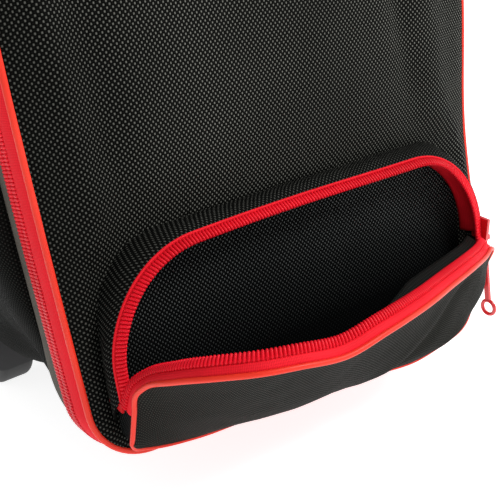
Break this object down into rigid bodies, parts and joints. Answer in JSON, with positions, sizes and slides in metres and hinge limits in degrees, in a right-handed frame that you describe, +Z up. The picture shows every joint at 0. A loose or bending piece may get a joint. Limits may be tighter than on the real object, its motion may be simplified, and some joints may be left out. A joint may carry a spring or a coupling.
{
  "type": "single-ball roller bag",
  "caption": "Upright zipped roller bag for one bowling ball, with a hinged padded door, open accessory pocket on its front, side pockets, wheels and telescopic pull handle.",
  "frame": {"origin": "middle of the whole depth and width, on the floor that the feet and wheels stand on", "axes": "+Z up, -Y towards the door and its accessory pocket, +X to the right of someone facing the door"},
  "size_m": [0.3, 0.343, 0.492],
  "materials": {
    "nylon": "black basket-weave ballistic nylon, slightly shiny yarns",
    "nylon_trim": "black woven binding and webbing",
    "foam": "fabric-covered foam",
    "red_piping": "glossy orange-red vinyl piping",
    "red_zip": "crimson nylon coil and woven tape",
    "red_metal": "red enamelled zinc",
    "board": "black stiffener board",
    "black_plastic": "textured black moulding",
    "aluminium": "drawn and anodised",
    "steel": "zinc-plated",
    "tyre": "black polyurethane",
    "hub": "silver-grey moulding",
    "button": "grey moulding"
  },
  "bodies": {
    "shell": {"body_gusset": "nylon", "back_panel": "nylon", "rear_piping": "red_piping", "base_board": "board", "ball_cup": "foam", "shoe_shelf": "foam", "main_zip_rear": "red_zip", "hinge_tape": "nylon_trim", "side_pocket_left": "nylon", "side_pocket_right": "nylon", "side_pocket_bindings": "nylon_trim", "wheel_housing_left": "black_plastic", "wheel_housing_right": "black_plastic", "axles": "steel", "front_feet": "black_plastic", "foot_screws": "steel", "back_skids": "black_plastic", "skid_rivets": "steel", "handle_tubes_outer": "aluminium", "handle_bezel": "black_plastic", "bezel_screws": "steel", "handle_bracket": "steel", "bracket_rivets": "steel", "carry_handle": "nylon_trim", "handle_patches": "nylon_trim"},
    "door": {"front_panel": "nylon", "front_board": "board", "front_piping": "red_piping", "main_zip_front": "red_zip", "pocket_band": "nylon", "pocket_zip_upper": "red_zip", "pocket_gusset": "nylon_trim", "zip_stops": "red_zip"},
    "pocket_flap": {"pocket_front": "nylon", "pocket_piping": "red_piping", "pocket_zip_lower": "red_zip"},
    "pocket_slider": {"pocket_slider": "red_metal"},
    "pocket_pull": {"pocket_pull": "red_metal"},
    "main_slider_left": {"main_slider_left": "red_metal"},
    "main_slider_right": {"main_slider_right": "red_metal"},
    "main_pull_left": {"main_pull_left": "red_metal"},
    "main_pull_right": {"main_pull_right": "red_metal"},
    "handle_middle": {"handle_tubes_mid": "aluminium", "handle_collars": "black_plastic"},
    "handle_top": {"handle_tubes_inner": "aluminium", "handle_grip": "black_plastic"},
    "handle_button": {"handle_button": "button"},
    "wheel_left": {"wheel_hub_left": "hub", "wheel_bearings_left": "steel", "wheel_tyre_left": "tyre"},
    "wheel_right": {"wheel_hub_right": "hub", "wheel_bearings_right": "steel", "wheel_tyre_right": "tyre"}
  },
  "joints": [
    {"name": "door_hinge", "type": "hinge", "parent": "shell", "child": "door", "pos_m": [0.137, -0.05786, 0.237], "axis": [0, 0, 1], "range_deg": [0, 110]},
    {"name": "pocket_fold", "type": "hinge", "parent": "door", "child": "pocket_flap", "pos_m": [0, -0.09446, 0.031], "axis": [1, 0, 0], "range_deg": [-39, 30]},
    {"name": "pocket_slider_travel", "type": "slide", "parent": "door", "child": "pocket_slider", "axis": [0, -0.1908, 0.9816], "range_m": [0, 0.012]},
    {"name": "pocket_pull_swing", "type": "hinge", "parent": "pocket_slider", "child": "pocket_pull", "pos_m": [0.1304, -0.08746, 0.066], "axis": [0, -1, 0], "range_deg": [0, 150]},
    {"name": "main_slider_left_travel", "type": "slide", "parent": "shell", "child": "main_slider_left", "axis": [1, 0, 0], "range_m": [-0.085, 0.003]},
    {"name": "main_slider_right_travel", "type": "slide", "parent": "shell", "child": "main_slider_right", "axis": [1, 0, 0], "range_m": [-0.003, 0.085]},
    {"name": "main_pull_left_swing", "type": "hinge", "parent": "main_slider_left", "child": "main_pull_left", "pos_m": [-0.012, -0.05786, 0.4562], "axis": [0, 1, 0], "range_deg": [0, 80]},
    {"name": "main_pull_right_swing", "type": "hinge", "parent": "main_slider_right", "child": "main_pull_right", "pos_m": [0.012, -0.05786, 0.4562], "axis": [0, -1, 0], "range_deg": [0, 80]},
    {"name": "handle_middle_travel", "type": "slide", "parent": "shell", "child": "handle_middle", "axis": [0, 0, 1], "range_m": [0, 0.28]},
    {"name": "handle_top_travel", "type": "slide", "parent": "handle_middle", "child": "handle_top", "axis": [0, 0, 1], "range_m": [0, 0.28]},
    {"name": "handle_button_press", "type": "slide", "parent": "handle_top", "child": "handle_button", "axis": [0, 0, -1], "range_m": [0, 0.0025], "stiffness_N_per_m": 800, "springref_m": -0.002},
    {"name": "wheel_left_spin", "type": "hinge", "parent": "shell", "child": "wheel_left", "pos_m": [-0.11, 0.13154, 0.035], "axis": [1, 0, 0], "continuous": true},
    {"name": "wheel_right_spin", "type": "hinge", "parent": "shell", "child": "wheel_right", "pos_m": [0.11, 0.13154, 0.035], "axis": [1, 0, 0], "continuous": true}
  ]
}
